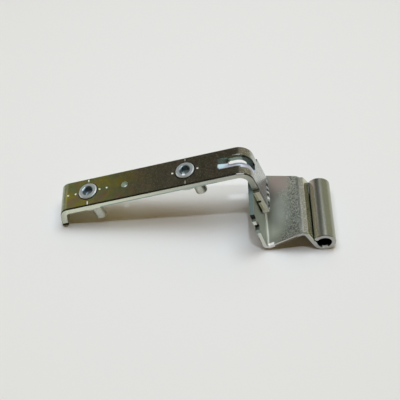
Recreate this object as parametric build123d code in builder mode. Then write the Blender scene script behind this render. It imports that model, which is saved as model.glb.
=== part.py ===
"""Hinge arm of a window stay: a bent strip arm, a folded hinge leaf with a rolled knuckle,
and two eccentric adjusters that turn in the arm.

Frame, in millimetres: the origin is the middle of the knuckle's bore, +Y runs along the bore,
+Z is the normal of the arm's top face, and the arm points towards -X.
"""
import os
from math import acos, atan2, cos, degrees, hypot, radians, sin, tan

from build123d import *

os.makedirs("parts", exist_ok=True)

# Driving dimensions of the arm, a punched strip bent down at both ends
arm_width = 20.0
arm_thick = 3.5
arm_top = 50.9             # height of the top face above the bore's axis
arm_y = 8.0                # centre line of the strip
edge_roll = 0.6            # rounding that punching leaves along the outer skin
leg_x = -28.9              # where the leg's outer face would meet the top face
leg_lean = 3.5             # degrees that the leg leans outwards
leg_end = 15.9             # height of the leg's lower end
leg_bend = 8.5             # outer radius of the bend into the leg
shoulder = 2.0             # the lower leg is this much wider on each side
shoulder_z = 34.9
lip_x = -140.0             # where the lip's outer face would meet the top face
lip_lean = 18.0            # degrees that the lip leans outwards
lip_drop = 14.2            # from the top face to the tip of the lip
lip_bend = 5.5
tongue = 3.2               # narrow tip of the lip, set in from both edges
tongue_inset = 2.0
slot_near, slot_far = 7.15, 11.4       # the slot's two walls
slot_start = -41.1
slot_end_z = 39.9
dish_near, dish_far, dish_start, dish_sink = 2.1, 0.7, 6.0, 1.0   # edge pressed in round the slot
nick_z = 26.4              # small nick in the leg's near edge
pilot_x, pilot_r = -101.5, 2.0
punch_marks = (-135.8, -131.2, -116.6, -112.2, -73.0, -58.4)

# Driving dimensions of the hinge leaf, a folded and rolled sheet
sheet = 2.5
bore_r = 4.0
leaf_near, leaf_far = -20.9, 20.9
flange_gap = 0.05          # between leg and flange at the flange's top edge
flange_lean = 0.3          # degrees, less than the leg's, so the gap opens downwards
plate_rise = 17.5          # degrees that the plate climbs from the fold to the hump
hump = (-8.5, 12.25)       # where the middle lines of plate and wall would meet
fold_inner, hump_inner = 1.2, 1.5
curl_end = 140.0           # degrees round the knuckle where the sheet's free edge stops
waist = 1.6                # the far edge steps in by this much at the hump
far_slant = 0.53           # growth of the far edge per millimetre from the hump to the fold
sheet_break = 0.3          # broken edge along the leaf's near side

# Driving dimensions of the adjusters
adjusters = {"left": (-123.6, -66.0), "right": (-65.6, -28.0)}   # axis along the arm, angle of the pin
adjuster_y = arm_y + 0.5
head_r, head_proud, head_edge = 5.4, 1.0, 0.5
shank_r, running_gap = 4.25, 0.05
recess_deep, recess_gap = 1.4, 0.35
socket_across, socket_deep = 5.0, 4.0
socket_lead_r, socket_lead = 3.3, 0.6
disc_r, disc_thick, disc_gap = 8.7, 2.8, 0.6
pin_r, pin_long, pin_offset, pin_edge = 3.4, 9.5, 5.3, 0.7
spigot_r, pin_spigot_r = 2.2, 1.7

arm_under = arm_top - arm_thick
near_edge, far_edge = arm_y - arm_width / 2, arm_y + arm_width / 2
disc_top = arm_under - disc_gap
disc_under = disc_top - disc_thick


def leg_face(z):
    """Where the leg's outer face is at height z."""
    return leg_x + (arm_top - z) * tan(radians(leg_lean))


def side_plane(y):
    """Plane seen from the front, with local x along X and local y along Z."""
    return Plane.XZ.offset(-y)


def on_outer_skin(edge):
    """True for the long edges of the arm's outer skin: its flats and its two bends."""
    start, middle, end = edge @ 0, edge @ 0.5, edge @ 1
    if abs(end.Y - start.Y) > 1:
        return False
    if edge.geom_type == GeomType.CIRCLE:
        return edge.radius in (lip_bend, leg_bend)
    return middle.Z > arm_top - 0.01 or middle.X > leg_face(middle.Z) - 0.01


# The arm: one outer skin line with two bends, thickened inwards
lip_tip = (lip_x - lip_drop * tan(radians(lip_lean)), arm_top - lip_drop)
with BuildPart() as stay_arm:
    with BuildSketch(side_plane(near_edge)):
        with BuildLine() as skin:
            Polyline(lip_tip, (lip_x, arm_top), (leg_x, arm_top), (leg_face(leg_end), leg_end))
            fillet(skin.vertices().sort_by_distance((lip_x, arm_top, 0))[0], lip_bend)
            fillet(skin.vertices().sort_by_distance((leg_x, arm_top, 0))[0], leg_bend)
            offset(amount=arm_thick, side=Side.RIGHT)
        make_face()
    extrude(amount=-arm_width)
    fillet(stay_arm.edges().filter_by(on_outer_skin), edge_roll)

    # the lower leg is wider, with shoulders level with the top of the leaf's flange
    with BuildSketch(side_plane(near_edge - shoulder)):
        with BuildLine() as lower_leg:
            Polyline((leg_face(shoulder_z), shoulder_z), (leg_face(leg_end), leg_end))
            offset(amount=arm_thick, side=Side.RIGHT)
        make_face()
    extrude(amount=-(arm_width + 2 * shoulder))

    # the lip ends in a narrower tongue
    for edge, side in ((near_edge, Align.MIN), (far_edge, Align.MAX)):
        with Locations((lip_tip[0], edge, lip_tip[1] - 2)):
            Box(16, tongue_inset, tongue + 2, align=(Align.CENTER, side, Align.MIN), mode=Mode.SUBTRACT)

    # the slot runs along the top face, round the bend and into the leg
    with BuildSketch(Plane.XY.offset(slot_end_z)):
        with Locations((slot_start, slot_near)):
            Rectangle(leg_x + 6 - slot_start, slot_far - slot_near, align=(Align.MIN, Align.MIN))
    extrude(amount=arm_top - slot_end_z + 1, mode=Mode.SUBTRACT)
    blind_end = stay_arm.edges().filter_by(Axis.Z).filter_by_position(
        Axis.X, slot_start - 0.1, slot_start + 0.1)
    fillet(blind_end, 1.0)

    # its edges are pressed in: a shallow dish carried along the skin, with a ramp at the blind end
    with BuildLine(Plane.XZ) as slot_skin:
        Polyline((slot_start, arm_top), (leg_x, arm_top), (leg_face(slot_end_z), slot_end_z))
        fillet(slot_skin.vertices().sort_by_distance((leg_x, 0, arm_top))[0], leg_bend)
    with BuildSketch(Plane((slot_start, 0, arm_top), x_dir=(0, 1, 0), z_dir=(1, 0, 0))):
        with BuildLine():
            Polyline((slot_near - dish_near, 0), (slot_near, -dish_sink), (slot_far, -dish_sink),
                     (slot_far + dish_far, 0), (slot_far + dish_far, 1), (slot_near - dish_near, 1),
                     close=True)
        make_face()
    sweep(path=slot_skin.wire(), mode=Mode.SUBTRACT)
    with BuildSketch(side_plane(slot_near - dish_near / 2)):
        with BuildLine():
            Polyline((slot_start - dish_start, arm_top), (slot_start, arm_top - dish_sink),
                     (slot_start, arm_top + 1), (slot_start - dish_start, arm_top + 1), close=True)
        make_face()
    extrude(amount=-(slot_far - slot_near + (dish_near + dish_far) / 2), mode=Mode.SUBTRACT)
    with Locations((leg_face(nick_z) - arm_thick, near_edge - shoulder, nick_z)):
        Box(2.6, 2.0, 1.3, mode=Mode.SUBTRACT)

    # stepped holes that the two adjusters turn in, and the small round hole
    with Locations(*[(x, adjuster_y, arm_top) for x, turn in adjusters.values()]):
        CounterBoreHole(shank_r + running_gap, head_r + recess_gap, recess_deep, depth=arm_thick)
    with Locations((pilot_x, arm_y, arm_top)):
        Hole(pilot_r, depth=arm_thick)

    # index marks: a groove fore and aft of each adjuster, and punched dots along the centre line
    for x, turn in adjusters.values():
        with Locations((x, adjuster_y - 8.2, arm_top), (x, adjuster_y + 8.2, arm_top)):
            Box(0.8, 2.4, 0.6, mode=Mode.SUBTRACT)
    with Locations(*[(x, adjuster_y, arm_top) for x in punch_marks]):
        Cone(0.2, 0.7, 0.45, align=(Align.CENTER, Align.CENTER, Align.MAX), mode=Mode.SUBTRACT)
stay_arm.part.label = "stay_arm"
export_step(stay_arm.part, "parts/stay_arm.step")


# The hinge leaf: flange, fold, rising plate, hump, wall and knuckle are one sheet of constant thickness
mid_r = bore_r + sheet / 2
flange_top = (leg_face(shoulder_z) - arm_thick / cos(radians(leg_lean)) - flange_gap - sheet / 2, shoulder_z)
climb, lean = tan(radians(plate_rise)), tan(radians(flange_lean))
fold_z = (hump[1] - climb * (hump[0] - flange_top[0] - lean * shoulder_z)) / (1 + climb * lean)
fold = (flange_top[0] + lean * (shoulder_z - fold_z), fold_z)
roll_start = degrees(atan2(hump[1], hump[0]) + acos(mid_r / hypot(*hump)))   # the wall is tangent there
roll_point = (mid_r * cos(radians(roll_start)), mid_r * sin(radians(roll_start)))
waist_y = leaf_far - waist
corner_x = flange_top[0] - sheet
far_corner = waist_y + far_slant * (hump[0] - corner_x)
flange_far = far_edge + shoulder
with BuildPart() as hinge_leaf:
    with BuildSketch(side_plane(leaf_near)):
        with BuildLine() as middle:
            Polyline(flange_top, fold, hump, roll_point)
            fillet(middle.vertices().sort_by_distance((*fold, 0))[0], fold_inner + sheet / 2)
            fillet(middle.vertices().sort_by_distance((*hump, 0))[0], hump_inner + sheet / 2)
        trace(line_width=sheet)
        with BuildLine():
            inside = CenterArc((0, 0), bore_r, roll_start, 360 + curl_end - roll_start)
            outside = CenterArc((0, 0), bore_r + sheet, roll_start, 360 + curl_end - roll_start)
            Line(inside @ 0, outside @ 0)
            Line(inside @ 1, outside @ 1)
        make_face()
    extrude(amount=-(far_corner - leaf_near))
    near_rim = hinge_leaf.faces().sort_by(Axis.Y)[0].outer_wire().edges()
    off_knuckle = near_rim.filter_by(lambda edge: (edge @ 0.5).X < hump[0] + 4 and edge.length > 1.1 * sheet)
    chamfer(off_knuckle, sheet_break)

    # the far edge steps in beside the knuckle and slants out from the hump to the fold
    with BuildSketch(Plane.XY.offset(-20)):
        with BuildLine():
            Polyline((20, leaf_far), (hump[0] + 3, leaf_far), (hump[0], waist_y), (corner_x, far_corner),
                     (corner_x, 60), (20, 60), close=True)
        make_face()
    extrude(amount=70, mode=Mode.SUBTRACT)

    # above the fold the flange narrows to the width of the lower leg
    with BuildSketch(Plane.YZ.offset(corner_x)):
        with BuildLine():
            Polyline((60, fold_z + 3), (far_corner - 2, fold_z + 3), (flange_far, fold_z + 13),
                     (flange_far, 60), (60, 60), close=True)
        make_face()
    extrude(amount=2.2 * sheet, mode=Mode.SUBTRACT)

    # the flange's near edge is cut back at its top and once below, which leaves a small tooth
    for low, high, deep in ((31.2, 36.0, 2.0), (23.3, 28.0, 2.3)):
        with Locations((flange_top[0], leaf_near, (low + high) / 2)):
            Box(3 * sheet, 2 * deep, high - low, mode=Mode.SUBTRACT)
hinge_leaf.part.label = "hinge_leaf"
export_step(hinge_leaf.part, "parts/hinge_leaf.step")


# The weld: a rounded bead under the leg's end that bridges the gap to the flange
weld_long = arm_width + 2 * shoulder - 2
weld_wall = flange_top[0] + sheet / 2 / cos(radians(flange_lean)) + lean * (shoulder_z - leg_end)
weld_toe = (weld_wall + 4.2 * lean, leg_end - 4.2)


def under_leg(x):
    """Point at x on the line of the leg's end face, which is square to the leaning leg."""
    return x, leg_end + (x - leg_face(leg_end)) * tan(radians(leg_lean))


weld_top = under_leg(leg_face(leg_end) + 0.7)
with BuildPart() as weld_seam:
    with BuildSketch(side_plane(arm_y - weld_long / 2)):
        with BuildLine():
            Polyline(weld_toe, under_leg(weld_wall), weld_top)
            RadiusArc(weld_top, weld_toe, 4.6)
        make_face()
    extrude(amount=-weld_long)
    chamfer(weld_seam.edges().filter_by(GeomType.CIRCLE), 0.8)
weld_seam.part.label = "weld_seam"
export_step(weld_seam.part, "parts/weld_seam.step")


# The adjusters: a socket head with its shank, a disc riveted under the arm, a pin off-centre in the disc
for side, (axis_x, turn) in adjusters.items():
    axis = (axis_x, adjuster_y)
    pin_axis = (axis_x + pin_offset * cos(radians(turn)), adjuster_y + pin_offset * sin(radians(turn)))
    head_under, head_top = arm_top - recess_deep, arm_top + head_proud

    with BuildPart() as head:
        with BuildSketch(Plane.XY.offset(head_under)):
            with Locations(axis):
                Circle(head_r)
        extrude(amount=head_top - head_under)
        chamfer(head.edges().group_by(Axis.Z)[-1], head_edge)
        with BuildSketch(Plane.XY.offset(head_under)):
            with Locations(axis):
                Circle(shank_r)
        extrude(amount=disc_top - head_under)
        with BuildSketch(Plane.XY.offset(disc_top)):
            with Locations(axis):
                Circle(spigot_r)
        extrude(amount=-disc_thick)
        with BuildSketch(Plane.XY.offset(head_top)):
            with Locations(axis):
                RegularPolygon(socket_across / 2, 6, major_radius=False)
        extrude(amount=-socket_deep, mode=Mode.SUBTRACT)
        with Locations((*axis, head_top)):
            Cone(socket_across / 2, socket_lead_r, socket_lead,
                 align=(Align.CENTER, Align.CENTER, Align.MAX), mode=Mode.SUBTRACT)
    head.part.label = f"{side}_socket_head"
    export_step(head.part, f"parts/{side}_socket_head.step")

    with BuildPart() as disc:
        with BuildSketch(Plane.XY.offset(disc_under)):
            with Locations(axis):
                Circle(disc_r)
                Circle(spigot_r, mode=Mode.SUBTRACT)
            with Locations(pin_axis):
                Circle(pin_spigot_r, mode=Mode.SUBTRACT)
        extrude(amount=disc_thick)
        chamfer(disc.edges().filter_by(lambda e: e.geom_type == GeomType.CIRCLE and e.radius == disc_r), 0.3)
    disc.part.label = f"{side}_eccentric_disc"
    export_step(disc.part, f"parts/{side}_eccentric_disc.step")

    with BuildPart() as pin:
        with BuildSketch(Plane.XY.offset(disc_under)):
            with Locations(pin_axis):
                Circle(pin_r)
        extrude(amount=-pin_long)
        chamfer(pin.edges().group_by(Axis.Z)[0], pin_edge)
        with BuildSketch(Plane.XY.offset(disc_under)):
            with Locations(pin_axis):
                Circle(pin_spigot_r)
        extrude(amount=disc_thick)
    pin.part.label = f"{side}_guide_pin"
    export_step(pin.part, f"parts/{side}_guide_pin.step")
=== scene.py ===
# %% [markdown]
# # Hinge arm of a window stay
# The real object is pressed steel with a thin zinc plating: a strip arm bent down at both ends, a folded leaf
# with a rolled knuckle, a weld between the two, and two adjusters that turn in the arm. All of these shapes come
# from the CAD model, which is loaded first. Blender adds the finish of each surface and the ripples of the weld.

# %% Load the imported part
from math import cos, radians, sin

import bpy
import numpy as np
from mathutils import Matrix, Vector


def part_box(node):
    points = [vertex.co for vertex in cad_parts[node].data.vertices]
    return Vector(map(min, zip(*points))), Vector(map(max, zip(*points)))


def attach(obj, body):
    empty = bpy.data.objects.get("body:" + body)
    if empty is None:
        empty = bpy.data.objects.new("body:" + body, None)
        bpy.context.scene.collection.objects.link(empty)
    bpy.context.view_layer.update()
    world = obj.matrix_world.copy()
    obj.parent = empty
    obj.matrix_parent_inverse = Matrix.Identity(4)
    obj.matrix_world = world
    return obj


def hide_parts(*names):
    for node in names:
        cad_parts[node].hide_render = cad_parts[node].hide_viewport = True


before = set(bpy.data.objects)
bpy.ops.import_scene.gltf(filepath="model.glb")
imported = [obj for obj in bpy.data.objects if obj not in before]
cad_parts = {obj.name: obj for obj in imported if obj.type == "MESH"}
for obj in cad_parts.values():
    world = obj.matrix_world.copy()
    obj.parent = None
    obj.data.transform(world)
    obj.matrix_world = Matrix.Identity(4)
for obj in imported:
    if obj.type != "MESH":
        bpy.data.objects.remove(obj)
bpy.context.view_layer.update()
MM = 0.001
print("nodes:", sorted(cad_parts))

# %% [markdown]
# ## The table
# The part lies the way it was put down: on the round underside of its knuckle and on the tip of its lip. The CAD
# frame follows the arm instead, so here the table is the thing that is tilted. One angle and the knuckle's radius
# give its plane. The table is a grid so that its mesh can be placed directly, with its object left at the origin.

# %% Mesh helpers
def grid_mesh(name, points, wrap=False, capped=False):
    """Mesh of quads over an array of points, rows by columns by 3.

    Wrap joins the last column to the first, and capped closes the first and last row of such a tube.
    """
    rows, columns = points.shape[:2]
    index = np.arange(rows * columns).reshape(rows, columns)
    right = np.roll(index, -1, axis=1) if wrap else index[:, 1:]
    left = index if wrap else index[:, :-1]
    faces = np.stack([left[:-1], right[:-1], right[1:], left[1:]], axis=-1).reshape(-1, 4).tolist()
    if capped:
        faces += [index[0, ::-1].tolist(), index[-1].tolist()]
    mesh = bpy.data.meshes.new(name)
    mesh.from_pydata(points.reshape(-1, 3).tolist(), [], faces)
    return mesh


def add_object(name, mesh):
    """Object at the origin that shows the mesh."""
    made = bpy.data.objects.new(name, mesh)
    bpy.context.scene.collection.objects.link(made)
    return made


print("helpers for meshes ready")

# %% Floor
TABLE_TILT = radians(16.70)
KNUCKLE_RADIUS = 6.5 * MM
TABLE_REACH, TABLE_LINES = 0.36, 9      # half the table's side, and the lines of its grid each way
BELOW_PART = np.array([-0.065, 0.03, 0])
table_up = Vector((sin(TABLE_TILT), 0, cos(TABLE_TILT)))
along_table = Vector((cos(TABLE_TILT), 0, -sin(TABLE_TILT)))
# Point of the table at (s, t): its middle, plus s along the slope, plus t across it.
s, t = np.meshgrid(np.linspace(-1, 1, TABLE_LINES), np.linspace(-1, 1, TABLE_LINES))
into_plane = np.eye(3) - np.outer(table_up, table_up)
table_middle = BELOW_PART @ into_plane - KNUCKLE_RADIUS * np.array(table_up)
reached = s[..., None] * np.array(along_table) + t[..., None] * np.array((0, 1, 0))
table = add_object("table", grid_mesh("table", table_middle + TABLE_REACH * reached))
print("table normal", tuple(table_up))

# %% [markdown]
# ## The camera
# A photograph that shows straight edges in three directions fixes its camera. This one stood half a metre away,
# a little to the right, looking down at fifty degrees with a short telephoto lens. The camera's three axes are
# built from the direction it looks in and from what it took as up.

# %% Camera
CAMERA_PLACE = Vector((65.61, -356.62, 458.58)) * MM
CAMERA_LOOKS = Vector((-0.22485, 0.62627, -0.74647))
CAMERA_UP = Vector((0.19755, 0.77948, 0.59446))
SENSOR_WIDTH, FOCAL_LENGTH = 36, 91.07
camera = bpy.data.objects.new("camera", bpy.data.cameras.new("camera"))
camera.data.sensor_width, camera.data.lens = SENSOR_WIDTH, FOCAL_LENGTH
camera.data.clip_start = 0.01
back = -CAMERA_LOOKS.normalized()
side = CAMERA_UP.cross(back).normalized()
turned = Matrix((side, back.cross(side), back)).transposed().to_4x4()
camera.matrix_world = Matrix.Translation(CAMERA_PLACE) @ turned
bpy.context.scene.collection.objects.link(camera)
bpy.context.scene.camera = camera
bpy.context.scene.view_settings.view_transform = "Standard"
print("camera at", tuple(round(v, 3) for v in CAMERA_PLACE))

# %% [markdown]
# ## Node helpers
# A material is a small graph. A few helpers keep the graphs short to write. The first two add a node and fill its
# sockets, where a value that is itself a socket becomes a link. The next two start a node group with named inputs
# and outputs, and place it in a material. The others wrap the nodes that are used most: sums, smooth steps and mixes
# of colour.

# %% Nodes and their sockets
def fill(tree, node, **sockets):
    """Fills sockets by name, _ for a space, or as at_N by place: a socket is linked and a value is set."""
    for name, value in sockets.items():
        label = name.replace("_", " ")
        socket = node.inputs[int(label.split()[-1])] if label.startswith("at ") else node.inputs[label]
        if isinstance(value, bpy.types.NodeSocket):
            tree.links.new(value, socket)
        else:
            socket.default_value = (*value, 1) if socket.type == "RGBA" else value


def add(tree, kind, settings=None, **sockets):
    """New node in the tree. Settings are the node's own properties; sockets are filled."""
    node = tree.nodes.new("ShaderNode" + kind)
    for name, value in (settings or {}).items():
        setattr(node, name, value)
    fill(tree, node, **sockets)
    return node


def start_group(name, inputs, outputs):
    """Empty node group with sockets made from {label: kind}; gives the tree, its input sockets and its end node."""
    tree = bpy.data.node_groups.new(name, "ShaderNodeTree")
    for way, sockets in (("INPUT", inputs), ("OUTPUT", outputs)):
        for label, kind in sockets.items():
            tree.interface.new_socket(name=label, in_out=way, socket_type="NodeSocket" + kind)
    return tree, tree.nodes.new("NodeGroupInput").outputs, tree.nodes.new("NodeGroupOutput")


def place_group(tree, group, **sockets):
    """The group as a node of a material, with its sockets filled; gives its outputs."""
    return add(tree, "Group", {"node_tree": group}, **sockets).outputs


print("helpers for nodes and groups ready")


# %% Sums, steps and mixes
def calc(tree, operation, a, b, clamp=False):
    """Result socket of a Math node on two values or sockets."""
    return add(tree, "Math", {"operation": operation, "use_clamp": clamp}, at_0=a, at_1=b).outputs[0]


def times(tree, a, b):
    """Product of two masks or values."""
    return calc(tree, "MULTIPLY", a, b)


def most(tree, first, *others):
    """Largest of several masks at each point."""
    for other in others:
        first = calc(tree, "MAXIMUM", first, other)
    return first


def smooth(tree, value, low, high, start=0.0, end=1.0):
    """Value carried smoothly from (low, high) to (start, end)."""
    settings = {"interpolation_type": "SMOOTHSTEP"}
    sockets = {"From_Min": low, "From_Max": high, "To_Min": start, "To_Max": end}
    return add(tree, "MapRange", settings, Value=value, **sockets).outputs[0]


def smooth_mm(tree, value, low, high, start=0.0, end=1.0):
    """The same with low and high in millimetres."""
    return smooth(tree, value, low * MM, high * MM, start, end)


def mix(tree, share, a, b, blend="MIX"):
    """Colour a where share is 0 and colour b where it is 1, or a times b there for the blend MULTIPLY."""
    settings = {"data_type": "RGBA", "blend_type": blend}
    return add(tree, "Mix", settings, at_0=share, at_6=a, at_7=b).outputs[2]


def dot(tree, vector, way):
    """How far a vector reaches along the given direction."""
    return add(tree, "VectorMath", {"operation": "DOT_PRODUCT"}, at_0=vector, at_1=way).outputs["Value"]


print("helpers for sums, steps and mixes ready")

# %% [markdown]
# ## Light
# Bright metal shows its surroundings more than its own colour. The photograph's arm is dark on top because it
# mirrors a dark ceiling, and so does its rolled near edge, while the leaf mirrors the paler left of the room and the
# bends catch a glow at the far right. So the world is a pale room with a dark band overhead and a dark near side.
# The shadow tells where the lamps are. It is deep and brown under the low end of the arm and fades under its high
# end, so the main lamp is a wide one straight above. Its sharp near edge needs a second, small lamp nearer to the
# camera. A third lamp, like a window high on the far side, softens the shadow under the arm. The metal doesn't
# mirror that one, because it would leave streaks on the knuckle. The room lights the matt table less than the metal
# mirrors it, and browner, which keeps the shadow dark and warm.

# %% World
ROOM_PALE, ROOM_DARK, ROOM_NEAR = (0.50, 0.49, 0.44), (0.060, 0.053, 0.038), (0.13, 0.095, 0.05)
BAND_LEFT, BAND_RIGHT, BAND_LOW = (-0.62, -0.20), (0.22, 0.52), (0.12, 0.45)   # fade ranges of the ceiling band
NEAR_SIDE, NEAR_LOW = (0.05, -0.35), (-0.08, 0.05)                             # fade ranges of the near side
GLOW, GLOW_TOWARDS, GLOW_FADE = (0.36, 0.35, 0.31), Vector((0.46, 0.61, 0.645)).normalized(), (0.94, 0.985)
ON_MATT = (0.74, 0.45, 0.0)          # what of the room's light reaches the matt table
world = bpy.data.worlds.new("room")
world.use_nodes = True
room = world.node_tree
towards = add(room, "TexCoord").outputs["Generated"]
part_of = add(room, "SeparateXYZ", Vector=towards).outputs
band = times(room, smooth(room, part_of["X"], *BAND_LEFT), smooth(room, part_of["X"], *BAND_RIGHT, 1.0, 0.0))
band = times(room, band, smooth(room, part_of["Z"], *BAND_LOW))
near = times(room, smooth(room, part_of["Y"], *NEAR_SIDE), smooth(room, part_of["Z"], *NEAR_LOW))
shade = mix(room, near, mix(room, band, ROOM_PALE, ROOM_DARK), ROOM_NEAR)
shade = mix(room, smooth(room, dot(room, towards, GLOW_TOWARDS), *GLOW_FADE), shade, GLOW)
ray = add(room, "LightPath").outputs
matt = calc(room, "SUBTRACT", 1.0, most(room, ray["Is Camera Ray"], ray["Is Glossy Ray"]))
fill(room, room.nodes["Background"], Color=mix(room, matt, shade, ON_MATT, "MULTIPLY"))
bpy.context.scene.world = world
print("world:", world.name)

# %% Lamps
PART_MIDDLE, LAMP_COLOUR = Vector((-0.06, 0, 0.02)), (0.835, 0.922, 1.0)
LAMPS = {                                       # lean towards the far side, width, length, watts, mirrored in metal
    "main_lamp": (0.12, 0.40, 0.95, 8.0, True),
    "small_lamp": (-0.20, 0.05, 0.05, 2.1, True),
    "window_lamp": (0.75, 0.60, 0.60, 0.9, False),
}
for name, (lean, width, length, watts, mirrored) in LAMPS.items():
    light = bpy.data.lights.new(name, "AREA")
    light.shape, light.size, light.size_y = "RECTANGLE", width, length
    light.energy, light.color = watts, LAMP_COLOUR
    away = table_up + Vector((0, lean, 0))
    lamp = bpy.data.objects.new(name, light)
    lamp.location = PART_MIDDLE + away.normalized()         # a metre away, facing back
    lamp.rotation_euler = away.to_track_quat("Z", "Y").to_euler()
    lamp.visible_glossy = mirrored
    bpy.context.scene.collection.objects.link(lamp)
    print(name, "at", tuple(round(v, 2) for v in lamp.location))

# %% [markdown]
# ## The table's finish
# The table is plain white and matt. Its underside is made see-through, because a view from below would otherwise
# show nothing but table.

# %% Table material
def start_material(name):
    """New material with its tree, its Principled shader and its texture coordinates."""
    material = bpy.data.materials.new(name)
    material.use_nodes = True
    tree = material.node_tree
    return material, tree, tree.nodes["Principled BSDF"], add(tree, "TexCoord").outputs


TABLE_WHITE, TABLE_ROUGH = (0.80, 0.80, 0.80), 0.9
paper, tree, shader, where = start_material("white_table")
fill(tree, shader, Base_Color=TABLE_WHITE, Roughness=TABLE_ROUGH, Specular_IOR_Level=0.0)
seen_through = add(tree, "MixShader", at_0=add(tree, "NewGeometry").outputs["Backfacing"],
                   at_1=shader.outputs[0], at_2=add(tree, "BsdfTransparent").outputs[0])
fill(tree, tree.nodes["Material Output"], Surface=seen_through.outputs[0])
table.data.materials.append(paper)
print("table is", TABLE_WHITE[0])

# %% [markdown]
# ## The weld
# The leg is welded to the leaf along its lower end: a seam laid as one drop after the other, each frozen as a small
# ripple. The CAD model has a plain bead there. This piece takes the plain bead's place. Its section starts on the
# leg's outer face, bulges over the leg's lower corner and goes on as a quarter of an ellipse to the flange. It is
# carried along Y, climbs higher up the leg towards the far end, and swells and shrinks with the drops. An attribute
# keeps where the drops meet the leg, so that the finish can paint a highlight on them and shade in the hollows
# between them.

# %% Weld section
WELD_CORNER, WELD_TOP, WELD_TOE = (np.array(p) * MM for p in ((-31.37, 15.62), (-26.1, 15.93), (-31.35, 11.75)))
WELD_DROPS, WELD_DEPTH, END_SIZE, END_STEEPNESS = 5, 0.22, 0.55, 9
UNEVEN_SPACING, UNEVEN_STRENGTH = (0.30, 9.1, 1.0), (0.28, 5.3, 0.4)    # amount, rate and start of a wave
CLIMB, CLIMB_GROWS, CLIMB_ON_CREST = 0.8, 3.2, 0.5                      # of the lobe on the leg, in millimetres
PROUD, PROUD_ON_CREST, SUNK = 0.62, 0.3, 0.1                            # of the lobe over the leg, in millimetres
LEG_SET_BACK, LEG_SLOPE = 0.66, -0.0612
PLAIN, MET_AT, MET_WIDTH = 0.6, 0.6, 0.45
weld_low, weld_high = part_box("weld_seam")


def wave(x, amount, rate, start):
    """Sine of the given amount."""
    return amount * np.sin(rate * x + start)


def weld_surface(rows, columns):
    """Section: a lobe from the leg down to the weld's top, then a quarter ellipse from there to its toe.

    The quarter is corner + r (cos a (top - corner) + sin a (toe - corner)), where r drops by WELD_DEPTH between the
    drops. The lobe climbs 0.8 mm at the near end and 4 mm at the far end and thins out along the leg's slope. The
    last point of each row is the corner. The second array says where the drops meet the leg.
    """
    along = np.linspace(0, 1, rows)[:, None]
    drop = along * WELD_DROPS + wave(along, *UNEVEN_SPACING)
    crest = np.sin(np.pi * drop) ** 2 * (1 - UNEVEN_STRENGTH[0] + wave(drop, *UNEVEN_STRENGTH))
    ends = np.minimum(1, END_STEEPNESS * np.minimum(along, 1 - along)) ** 0.5
    swell = (1 - WELD_DEPTH * (1 - crest)) * (END_SIZE + (1 - END_SIZE) * ends)
    angle = np.linspace(0, np.pi / 2, columns)[None, :, None]
    quarter = WELD_CORNER + swell[..., None] * (np.cos(angle) * (WELD_TOP - WELD_CORNER)
                                                + np.sin(angle) * (WELD_TOE - WELD_CORNER))
    up = np.linspace(1, 0, columns, endpoint=False)[None, :]
    climb = (CLIMB + CLIMB_GROWS * along + CLIMB_ON_CREST * crest) * MM * ends
    proud = (PROUD + PROUD_ON_CREST * crest) * ends * MM * (1 - up ** 2) - SUNK * MM
    leg_face = WELD_TOP[0] - LEG_SET_BACK * MM + LEG_SLOPE * climb * up
    lobe = np.stack([leg_face + proud, WELD_TOP[1] + climb * up], axis=-1)
    flat = np.concatenate([lobe, quarter, np.broadcast_to(WELD_CORNER, (rows, 1, 2))], axis=1)
    met = PLAIN + (crest - PLAIN) * np.exp(-((up - MET_AT) / MET_WIDTH) ** 4)
    met = np.concatenate([met, np.full((rows, columns + 1), PLAIN)], axis=1)
    run = np.broadcast_to(weld_low[1] + along * (weld_high[1] - weld_low[1]), flat.shape[:2])
    return np.stack([flat[..., 0], run, flat[..., 1]], axis=-1), met


print("weld runs from", round(weld_low[1], 4), "to", round(weld_high[1], 4))

# %% Weld piece
WELD_ROWS, WELD_COLUMNS = 127, 14
points, crest = weld_surface(WELD_ROWS, WELD_COLUMNS)
weld_mesh = grid_mesh("weld_bead", points, wrap=True, capped=True)
crest_values = weld_mesh.attributes.new("crest", "FLOAT", "POINT").data
crest_values.foreach_set("value", crest.ravel().astype(np.float32))
weld_mesh.polygons.foreach_set("use_smooth", [len(face.vertices) == 4 for face in weld_mesh.polygons])
weld_bead = add_object("weld_bead", weld_mesh)
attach(weld_bead, "stay")
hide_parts("weld_seam")
print("weld bead of", len(weld_mesh.polygons), "faces")

# %% [markdown]
# ## Shared finish groups
# Plated steel has three things at once: slow clouds of colour where the passivated film is thicker or thinner, a
# fine fleck from the crystals of the zinc, and edges where the sheet was sheared, which are paler and rougher.
# Each is a group, so that every metal below can use it with its own values. A fourth group gives a soft-edged window
# on one coordinate, with which a finish is kept to one place of a piece, and a fifth the distance from a head's axis.

# %% Cloud, fleck and sheared edge
FINE_TO_COARSE = 2.7
sizes = {"Place": "Vector", "Size": "Float"}
clouds, put, end = start_group("film_clouds", sizes, {"Cloud": "Float", "Second": "Float"})
slow = add(clouds, "TexNoise", Vector=put["Place"], Scale=put["Size"], Detail=2.0, Roughness=0.5, Distortion=0.4)
hues = add(clouds, "SeparateColor", Color=slow.outputs["Color"]).outputs
fill(clouds, end, Cloud=smooth(clouds, slow.outputs["Fac"], 0.3, 0.7),
     Second=smooth(clouds, hues["Green"], 0.35, 0.65))

flecks, put, end = start_group("zinc_flecks", sizes, {"Fleck": "Float", "Fine": "Float"})
coarse = add(flecks, "TexNoise", Vector=put["Place"], Scale=put["Size"], Detail=1.0, Roughness=0.6)
fine = add(flecks, "TexNoise", Vector=put["Place"], Scale=times(flecks, put["Size"], FINE_TO_COARSE), Detail=2.0)
fill(flecks, end, Fleck=smooth(flecks, coarse.outputs["Fac"], 0.48, 0.72), Fine=fine.outputs["Fac"])

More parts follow.
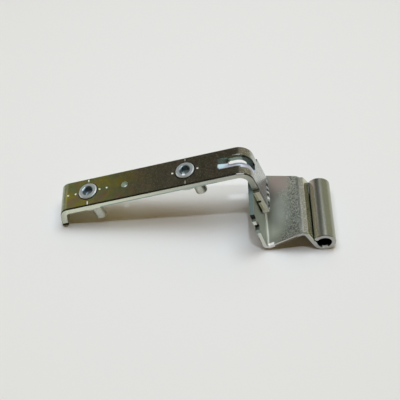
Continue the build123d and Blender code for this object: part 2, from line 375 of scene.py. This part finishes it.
sheared, put, end = start_group("sheared_edge", {"Facing": "Vector"}, {"Edge": "Float"})
across = add(sheared, "SeparateXYZ", Vector=put["Facing"]).outputs["Y"]
fill(sheared, end, Edge=smooth(sheared, calc(sheared, "ABSOLUTE", across, 0.0), 0.80, 0.95))
print("groups:", clouds.name, flecks.name, sheared.name)

# %% Window and distance from the heads
HEAD_AXES = ((-0.1236, 0.0085, 0), (-0.0656, 0.0085, 0))
limits = dict.fromkeys(("Value", "From", "To", "Fade"), "Float")
window, put, end = start_group("window", limits, {"Inside": "Float"})
above = calc(window, "DIVIDE", calc(window, "SUBTRACT", put["Value"], put["From"]), put["Fade"], clamp=True)
below = calc(window, "DIVIDE", calc(window, "SUBTRACT", put["To"], put["Value"]), put["Fade"], clamp=True)
fill(window, end, Inside=times(window, above, below))

round_heads, put, end = start_group("round_heads", {"Place": "Vector"}, {"Radius": "Float"})
level = add(round_heads, "VectorMath", {"operation": "MULTIPLY"}, at_0=put["Place"], at_1=(1, 1, 0)).outputs[0]
left, right = (add(round_heads, "VectorMath", {"operation": "DISTANCE"}, at_0=level, at_1=axis).outputs["Value"]
               for axis in HEAD_AXES)
fill(round_heads, end, Radius=calc(round_heads, "MINIMUM", left, right))


def inside(tree, coordinates, fade=0.2, **ranges):
    """Mask of a box: 1 where each named coordinate lies in its range in millimetres, with soft edges."""
    mask = 1.0
    for axis, (low, high) in ranges.items():
        settings = {"Value": coordinates[axis], "From": low * MM, "To": high * MM, "Fade": fade * MM}
        mask = times(tree, place_group(tree, window, **settings)["Inside"], mask)
    return mask


def paint(tree, coordinates, film, patches):
    """The film with each named patch laid over the ones before it: fade and place in millimetres, and colour."""
    for fade, place, colour in patches.values():
        film = mix(tree, inside(tree, coordinates, fade, **place), film, colour)
    return film


print("groups:", window.name, round_heads.name)

# %% [markdown]
# ## Yellow zinc
# The arm's film is yellow and green towards the lip, with a blush of pink, and nearly black-olive with bright specks
# towards the leg, where it mirrors the ceiling. The leg below the bend is bluer and scuffed. The punched dots and the
# index grooves are bare and bright, because pressing them broke the film. The small hole is bare, and painted light
# inside as a highlight. The pressed rim of the slot has a painted pale blue reflection, and its far wall a painted
# teal reflection that turns into painted shade at the bend; its blind end has a painted cyan highlight. Painted
# highlights run along the near edge and the slot's far edge at the bend, and along the leg's lower near edge, white at
# its end. The rolled near edge mirrors the dark side of the room, and a painted dark line of shade on the film beside
# it makes that read. The ring round each head, the notch in the leg and the near end of the lip have painted shade.

# %% Yellow zinc: the film
OLIVE, OLIVE_BROWN = (0.28, 0.28, 0.20), (0.38, 0.33, 0.27)
GOLD, PINK_GOLD, GREEN_GOLD = (0.80, 0.70, 0.07), (0.60, 0.42, 0.29), (0.46, 0.55, 0.22)
LIP_GREEN, LEG_BLUE, PALE_FLECK = (0.25, 0.29, 0.18), (0.51, 0.55, 0.53), (0.60, 0.59, 0.44)
yellow_zinc, tree, shader, where = start_material("yellow_zinc")
at = add(tree, "SeparateXYZ", Vector=where["Object"]).outputs
cloud = place_group(tree, clouds, Place=where["Object"], Size=70.0)
tint = place_group(tree, clouds, Place=where["Object"], Size=130.0)
fleck = place_group(tree, flecks, Place=where["Object"], Size=800.0)
olive = mix(tree, cloud["Cloud"], OLIVE, OLIVE_BROWN)
golden = mix(tree, tint["Second"], mix(tree, tint["Cloud"], GOLD, PINK_GOLD), GREEN_GOLD)
film = mix(tree, smooth_mm(tree, at["X"], -70, -125), olive, golden)
film = mix(tree, smooth_mm(tree, at["X"], -135.4, -138.2), film, LIP_GREEN)
film = mix(tree, smooth_mm(tree, at["Z"], 48, 42), film, LEG_BLUE)
film = mix(tree, times(tree, fleck["Fleck"], 0.3), film, PALE_FLECK)
print("film of", yellow_zinc.name)

# %% Yellow zinc: specks and dark lines
BLOTCH, SPECK, SCUFF, PAINTED_SHADE_LINE = (0.17, 0.15, 0.12), (0.68, 0.67, 0.56), (0.20, 0.24, 0.24), (0.05, 0.05, 0.04)
mottle = place_group(tree, clouds, Place=where["Object"], Size=420.0)
specks = place_group(tree, flecks, Place=where["Object"], Size=420.0)
blotched = times(tree, mottle["Cloud"], smooth_mm(tree, at["X"], -120, -70, 0.12, 0.45))
film = mix(tree, blotched, film, BLOTCH)
specked = times(tree, smooth(tree, specks["Fine"], 0.54, 0.66), smooth_mm(tree, at["X"], -110, -80, 0.15, 0.6))
film = mix(tree, specked, film, SPECK)
scuffed = times(tree, smooth(tree, specks["Fine"], 0.45, 0.34), inside(tree, at, 2.0, X=(-40, -20), Z=(14, 44)))
film = mix(tree, scuffed, film, SCUFF)
# Painted shade: a dark ring round each head, and a dark line beside the rolled near edge, which mirrors the dark room.
radius = {"R": place_group(tree, round_heads, Place=where["Object"])["Radius"]}
head_ring_shade = inside(tree, radius, 0.15, R=(4.9, 6.0))
edge_line_shade = inside(tree, at, 0.3, X=(-150, -26), Y=(-2.5, -0.9), Z=(16, 52))
film = mix(tree, most(tree, edge_line_shade, head_ring_shade), film, PAINTED_SHADE_LINE)
print("specks and dark lines of", yellow_zinc.name)

# %% Yellow zinc: sheared edges
SHORN_LIP, SHORN_LEFT, SHORN_RIGHT = (0.56, 0.58, 0.48), (0.74, 0.78, 0.64), (0.54, 0.55, 0.48)
SHORN_TEAL, SHORN_LEG, PAINTED_HIGHLIGHT_WHITE = (0.36, 0.45, 0.40), (0.62, 0.63, 0.46), (0.95, 0.96, 0.85)
PAINTED_SHADE_BLACK = (0.03, 0.03, 0.025)
ACROSS_LEG = (1, 0, -LEG_SLOPE)                         # from the leg's inner face to its outer one
edge = place_group(tree, sheared, Facing=where["Normal"])["Edge"]
shorn = mix(tree, smooth_mm(tree, at["X"], -110, -50), SHORN_LEFT, SHORN_RIGHT)
shorn = mix(tree, inside(tree, at, 0.5, X=(-117, -48), Z=(46, 48.6)), shorn, SHORN_TEAL)
shorn = mix(tree, smooth_mm(tree, at["X"], -136, -141), shorn, SHORN_LIP)
# Painted highlight: the leg's lower near edge towards its outer face, and the edge at its lower end, are white and
# less metallic.
low_leg = times(tree, edge, inside(tree, at, 0.5, X=(-36, -24), Z=(15, 35)))
leg_end_glint = times(tree, edge, inside(tree, at, 0.4, X=(-33, -24), Z=(14, 18.2)))
leg_edge_highlight = times(tree, low_leg, smooth_mm(tree, dot(tree, where["Object"], ACROSS_LEG), -28.2, -27.7))
leg_edge_highlight = most(tree, leg_edge_highlight, leg_end_glint)
shorn = mix(tree, low_leg, shorn, SHORN_LEG)
film = mix(tree, edge, film, mix(tree, leg_edge_highlight, shorn, PAINTED_HIGHLIGHT_WHITE))
# Painted shade: near black in the notch of the leg and on the near end of the lip, where it meets the table.
nick = inside(tree, at, 0.1, X=(-33, -28.8), Y=(-5, -3.2), Z=(25.5, 27.3))
tip = inside(tree, at, 0.3, X=(-150, -138), Y=(-4, 0.6), Z=(30, 38.4))
film = mix(tree, most(tree, nick, tip), film, PAINTED_SHADE_BLACK)
print("edges of", yellow_zinc.name)

# %% Yellow zinc: the slot
# The slot is painted light: a pale blue reflection on its pressed rim, a teal reflection on its far wall and ramp, and
# painted shade on the wall at the bend and on the ramp's lower part.
RAMP_TEAL_REFLECTION, RAMP_SHADE, LAVENDER_REFLECTION = (0.42, 0.56, 0.50), (0.16, 0.19, 0.18), (0.66, 0.68, 0.78)
FAR_WALL_REFLECTION_AND_SHADE = {
    "teal": (0.10, {"X": (-47.3, -25), "Y": (11.2, 12.2), "Z": (39, 50.88)}, (0.36, 0.47, 0.42)),
    "dark at the bend": (0.3, {"X": (-33.5, -25), "Y": (11.2, 12.2), "Z": (39, 49.6)}, (0.04, 0.045, 0.04)),
}
ramp = inside(tree, at, 0.10, X=(-47.0, -40.9), Y=(7.0, 11.5), Z=(49, 50.84))
film = mix(tree, ramp, film, mix(tree, smooth_mm(tree, at["X"], -43.5, -41.2), RAMP_TEAL_REFLECTION, RAMP_SHADE))
dish_reflection = most(tree, inside(tree, at, 0.10, X=(-47.3, -25), Y=(4.9, 8), Z=(39, 50.88)),
            inside(tree, at, 0.5, X=(-35.5, -26), Y=(3.0, 7.3), Z=(42, 50.7)),
            inside(tree, at, 0.7, X=(-46.5, -32), Y=(3.7, 7.3), Z=(48, 53)))
film = paint(tree, at, mix(tree, dish_reflection, film, LAVENDER_REFLECTION), FAR_WALL_REFLECTION_AND_SHADE)
print("slot of", yellow_zinc.name)

# %% Yellow zinc: bare marks and painted highlights
MARK_BRIGHT, MARK_DULL, GLINT_GREY = (0.70, 0.70, 0.64), (0.24, 0.24, 0.18), (0.40, 0.40, 0.40)
END_HIGHLIGHT_CYAN, HOLE_BARE_LIT_GREEN = (0.50, 0.72, 0.77), (0.46, 0.58, 0.48)
marks = inside(tree, at, 0.08, X=(-136.6, -50), Y=(-1.2, 17.4), Z=(50.1, 50.84))
marks = calc(tree, "SUBTRACT", marks, head_ring_shade, clamp=True)
dull = inside(tree, at, 0.3, X=(-67, -64), Y=(-3, 20))
film = mix(tree, marks, film, mix(tree, dull, MARK_BRIGHT, MARK_DULL))
# Painted highlights: cyan at the slot's blind end, light inside the small hole, and grey glints along the near edge
# and the slot's far edge at the bend.
end_highlight = inside(tree, at, 1.3, X=(-47.4, -42.0), Y=(4.2, 8.2), Z=(48, 53))
film = mix(tree, end_highlight, film, END_HIGHLIGHT_CYAN)
hole = inside(tree, at, 0.2, X=(-104, -99), Y=(5, 12), Z=(47, 50.8))
film = mix(tree, hole, film, HOLE_BARE_LIT_GREEN)
glint = most(tree, inside(tree, at, 0.2, X=(-36.5, -31.5), Y=(-2.1, -1.2), Z=(49.4, 51)),
             inside(tree, at, 0.2, X=(-38.5, -32.5), Y=(12.0, 12.8), Z=(50.2, 51)))
film = mix(tree, glint, film, GLINT_GREY)
# The bare marks and the painted highlights are made less metallic and rougher.
bare_and_painted_light = most(tree, marks, leg_edge_highlight, end_highlight, glint, hole)
print("bare marks of", yellow_zinc.name)

# %% Yellow zinc: shine
rough = calc(tree, "ADD", smooth(tree, edge, 0, 1, 0.16, 0.40), times(tree, fleck["Fine"], 0.16))
broken = times(tree, most(tree, bare_and_painted_light, dish_reflection), 0.5)
bump = add(tree, "Bump", Strength=0.12, Distance=0.1 * MM, Height=fleck["Fine"])
fill(tree, shader, Base_Color=film, Metallic=smooth(tree, bare_and_painted_light, 0, 1, 1.0, 0.2),
     Roughness=most(tree, rough, broken), Normal=bump.outputs[0])
print("finish:", yellow_zinc.name)

# %% [markdown]
# ## Satin zinc
# The leaf is a duller olive grey. Its plate is smooth beside the fold, has a painted pink reflection in its far
# corner, and a bright and dark grain towards the hump. The flange is darker. The wall after the hump is olive, the
# crevice beside it is painted dark as shade, and the knuckle has a faint pink band along it. The plate's near edge is
# torn in its lower half, which is painted near black: partly the dull torn zone, partly painted shade. The flange's
# top is a blotchy teal. The cut-back steps of its near edge and the inside of the bore are painted near black as
# shade, apart from a painted glint low in the bore's mouth and another at the fold.

# %% Satin zinc: the film
LEAF_OLIVE, LEAF_GREY = (0.44, 0.46, 0.39), (0.50, 0.49, 0.44)
BRIGHT_GRAIN, DARK_GRAIN = (0.76, 0.77, 0.72), (0.13, 0.13, 0.13)
# Of these patches, the pink corner is a painted reflection and the crevice is painted shade.
LEAF_PATCHES = {
    "smooth plate": (5.0, {"X": (-32, -18), "Y": (-18, 12), "Z": (-5, 20)}, (0.70, 0.71, 0.63)),
    "flange": (1.2, {"X": (-50, -30.6), "Y": (-40, 40), "Z": (7, 40)}, (0.20, 0.22, 0.17)),
    "right of the knuckle": (1.5, {"X": (1.8, 9), "Z": (-8, 8)}, (0.34, 0.35, 0.26)),
    "rolled band": (1.4, {"X": (-4.8, -0.8), "Z": (0, 8)}, (0.56, 0.51, 0.48)),
    "wall": (0.8, {"X": (-9.0, -5.2), "Z": (-2, 11)}, (0.60, 0.61, 0.42)),
    "crevice": (0.3, {"X": (-5.5, -4.6), "Z": (2.5, 4.9)}, (0.08, 0.08, 0.06)),
    "pink corner": (4.0, {"X": (-30, -14), "Y": (12.5, 30), "Z": (-2, 20)}, (0.53, 0.46, 0.43)),
}
satin_zinc, tree, shader, where = start_material("satin_zinc")
at = add(tree, "SeparateXYZ", Vector=where["Object"]).outputs
cloud = place_group(tree, clouds, Place=where["Object"], Size=60.0)
fleck = place_group(tree, flecks, Place=where["Object"], Size=1000.0)
specks = place_group(tree, flecks, Place=where["Object"], Size=420.0)
film = mix(tree, cloud["Cloud"], LEAF_OLIVE, LEAF_GREY)
grainy = smooth(tree, inside(tree, at, 5.0, X=(-25, -4), Y=(-40, 40), Z=(-10, 40)), 0, 1, 0.10, 0.8)
film = mix(tree, times(tree, fleck["Fleck"], grainy), film, BRIGHT_GRAIN)
worn = most(tree, inside(tree, at, 2.5, X=(-17.5, -9), Z=(5, 40)),
            inside(tree, at, 3.0, X=(-25, -9), Y=(-24, -11), Z=(5, 40)))
film = mix(tree, times(tree, worn, smooth(tree, specks["Fine"], 0.53, 0.40, 0.0, 0.75)), film, DARK_GRAIN)
film = paint(tree, at, film, LEAF_PATCHES)
print("film of", satin_zinc.name)

# %% Satin zinc: edges
SHORN_FLANGE, SHORN_WALL, TORN_AND_SHADED = (0.66, 0.67, 0.61), (0.46, 0.46, 0.44), (0.16, 0.13, 0.09)
BLOTCHY, FOLD_GLINT_WHITE = (0.22, 0.29, 0.28), (0.92, 0.91, 0.91)
OVER_PLATE = (-0.3007, 0, 0.9537)                       # normal of the rising plate
edge = place_group(tree, sheared, Facing=where["Normal"])["Edge"]
shorn = mix(tree, smooth_mm(tree, at["X"], -26, -8), SHORN_FLANGE, SHORN_WALL)
# The torn lower half of the plate's near edge is painted near black: partly the dull torn zone, partly painted shade.
torn_and_shaded = times(tree, inside(tree, at, 2.5, X=(-29.5, -11.5), Z=(0, 20)),
             smooth_mm(tree, dot(tree, where["Object"], OVER_PLATE), 14.6, 14.1))
film = mix(tree, edge, film, mix(tree, torn_and_shaded, shorn, TORN_AND_SHADED))
blotchy = most(tree, times(tree, edge, inside(tree, at, 0.6, X=(-38, -30), Z=(19.8, 24))),
               inside(tree, at, 0.3, X=(-38, -30), Z=(34.1, 36)))
film = mix(tree, times(tree, blotchy, smooth(tree, cloud["Second"], 0, 1, 0.55, 1.0)), film, BLOTCHY)
# Painted highlight: a white, less metallic glint at the fold's near edge.
glint = inside(tree, at, 0.3, X=(-30.8, -27.0), Y=(-21.5, -19.2), Z=(4.4, 8.4))
film = mix(tree, glint, film, FOLD_GLINT_WHITE)
print("edges of", satin_zinc.name)

# %% Satin zinc: steps, bore and shine
MOUTH_GLINT_WHITE, SHADE_BLACK_INSIDE = (0.95, 0.95, 0.95), (0.03, 0.03, 0.03)
# Painted shade: the cut-back steps and the inside of the bore are near black, apart from a painted white glint low in
# the bore's mouth.
steps = times(tree, edge, inside(tree, at, X=(-36, -31), Y=(-20.6, 0), Z=(22, 40)))
axle = add(tree, "CombineXYZ", X=at["X"], Z=at["Z"]).outputs[0]
reach = add(tree, "VectorMath", {"operation": "LENGTH"}, at_0=axle).outputs["Value"]
mouth = inside(tree, at, 0.3, X=(-2.2, 1.2), Y=(-22, -19.7), Z=(-4.6, -3.2))
bore = times(tree, smooth_mm(tree, reach, 4.3, 4.05), calc(tree, "SUBTRACT", 1.0, mouth))
film = mix(tree, most(tree, steps, bore), mix(tree, mouth, film, MOUTH_GLINT_WHITE), SHADE_BLACK_INSIDE)
grain = times(tree, fleck["Fine"], smooth_mm(tree, at["X"], -9, -12, 0.2, 1.0))
rough = calc(tree, "ADD", smooth_mm(tree, at["X"], -9, -12, 0.25, 0.40), times(tree, grain, 0.16))
bump = add(tree, "Bump", Strength=0.2, Distance=0.1 * MM, Height=grain)
fill(tree, shader, Base_Color=film, Metallic=smooth(tree, most(tree, glint, mouth), 0, 1, 1.0, 0.1),
     Roughness=most(tree, rough, times(tree, edge, 0.5)), Normal=bump.outputs[0])
print("finish:", satin_zinc.name)

# %% [markdown]
# ## Weld zinc
# The crests of the weld are smooth, with a painted highlight that is white and less metallic, and the valleys
# between the drops have painted shade, near black. The crest attribute of the piece drives the colour, the roughness
# and how metallic the weld is.

# %% Weld zinc
VALLEY_SHADE_BLACK, BEAD_GREY = (0.02, 0.02, 0.02), (0.36, 0.39, 0.40)
CREST_HIGHLIGHT_WHITE, BEAD_FLECK = (0.95, 0.96, 0.95), (0.70, 0.72, 0.70)
ON_CREST = (0.70, 0.92)
weld_zinc, tree, shader, where = start_material("weld_zinc")
height = add(tree, "Attribute", {"attribute_name": "crest"}).outputs["Fac"]
fleck = place_group(tree, flecks, Place=where["Object"], Size=500.0)
# Painted shade in the valleys and a painted highlight on the crests.
bead = mix(tree, smooth(tree, height, 0.15, 0.5), VALLEY_SHADE_BLACK, BEAD_GREY)
bead = mix(tree, smooth(tree, height, *ON_CREST), bead, CREST_HIGHLIGHT_WHITE)
bead = mix(tree, times(tree, fleck["Fleck"], 0.3), bead, BEAD_FLECK)
bump = add(tree, "Bump", Strength=0.4, Distance=0.2 * MM, Height=fleck["Fine"])
fill(tree, shader, Base_Color=bead, Metallic=smooth(tree, height, *ON_CREST, 1.0, 0.2),
     Roughness=smooth(tree, height, 0.3, 1.0, 0.55, 0.22), Normal=bump.outputs[0])
weld_mesh.materials.append(weld_zinc)
print("finish:", weld_zinc.name)

# %% [markdown]
# ## Blue zinc and pin zinc
# The two socket heads have a bluish plating with a painted highlight on the rim, painted shade on the lead and the
# socket's walls, a painted lighter floor, and a painted glint on the near rim of the right one. The discs and pins
# under the arm are turned steel with a warmer, duller plating.

# %% Blue zinc of the heads
HEAD_BLUE, HEAD_PALE, HEAD_FLECK = (0.74, 0.82, 0.86), (0.80, 0.86, 0.90), (0.66, 0.70, 0.74)
SOCKET_WALL_SHADE, FLOOR_HIGHLIGHT_GREY, GLINT_WHITE = (0.10, 0.12, 0.12), (0.44, 0.52, 0.54), (0.95, 0.98, 1.0)
# The rim ring is a painted highlight; the lead and the socket ring are painted shade.
HEAD_RINGS_LIT_AND_SHADED = {
    "rim": (0.1, {"R": (4.7, 6)}, (0.86, 0.94, 1.0)),
    "lead into the socket": (0.25, {"R": (-1, 3.5)}, (0.36, 0.42, 0.46)),
    "socket": (0.1, {"R": (-1, 3.1)}, (0.08, 0.10, 0.11)),
}
blue_zinc, tree, shader, where = start_material("blue_zinc")
at = add(tree, "SeparateXYZ", Vector=where["Object"]).outputs
cloud = place_group(tree, clouds, Place=where["Object"], Size=160.0)
fleck = place_group(tree, flecks, Place=where["Object"], Size=1200.0)
plate = mix(tree, cloud["Cloud"], HEAD_BLUE, HEAD_PALE)
plate = mix(tree, times(tree, fleck["Fleck"], 0.4), plate, HEAD_FLECK)
radius = {"R": place_group(tree, round_heads, Place=where["Object"])["Radius"]}
plate = paint(tree, radius, plate, HEAD_RINGS_LIT_AND_SHADED)
# Painted shade on the socket's walls, and a painted lighter floor as a highlight.
plate = mix(tree, smooth_mm(tree, at["Z"], 51.3, 50.9), plate, SOCKET_WALL_SHADE)
plate = mix(tree, smooth_mm(tree, at["Z"], 48.5, 48.0), plate, FLOOR_HIGHLIGHT_GREY)
rim_glint = inside(tree, at, 0.3, X=(-67.2, -65.2), Y=(4.3, 6.6), Z=(51, 53))
fill(tree, shader, Base_Color=mix(tree, rim_glint, plate, GLINT_WHITE),
     Metallic=smooth(tree, rim_glint, 0, 1, 0.85, 0.1),
     Roughness=calc(tree, "ADD", 0.22, times(tree, fleck["Fine"], 0.2)))
print("finish:", blue_zinc.name)

# %% Pin zinc of the discs and pins
PIN_OLIVE, PIN_GREY, PIN_FLECK = (0.48, 0.49, 0.40), (0.55, 0.55, 0.48), (0.66, 0.67, 0.60)
pin_zinc, tree, shader, where = start_material("pin_zinc")
cloud = place_group(tree, clouds, Place=where["Object"], Size=150.0)
fleck = place_group(tree, flecks, Place=where["Object"], Size=900.0)
plate = mix(tree, cloud["Cloud"], PIN_OLIVE, PIN_GREY)
fill(tree, shader, Base_Color=mix(tree, times(tree, fleck["Fleck"], 0.5), plate, PIN_FLECK), Metallic=1.0,
     Roughness=calc(tree, "ADD", 0.24, times(tree, fleck["Fine"], 0.2)))
print("finish:", pin_zinc.name)

# %% [markdown]
# ## Dressing the CAD nodes
# The CAD nodes keep their meshes. Each gets the finish of its kind, chosen by the end of its name.

# %% Give the CAD nodes their finish
FINISHES = {"arm": yellow_zinc, "leaf": satin_zinc, "seam": weld_zinc,
            "head": blue_zinc, "disc": pin_zinc, "pin": pin_zinc}
for name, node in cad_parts.items():
    node.data.materials.clear()
    node.data.materials.append(FINISHES[name.split("_")[-1]])
    print(name, "gets", node.data.materials[0].name)
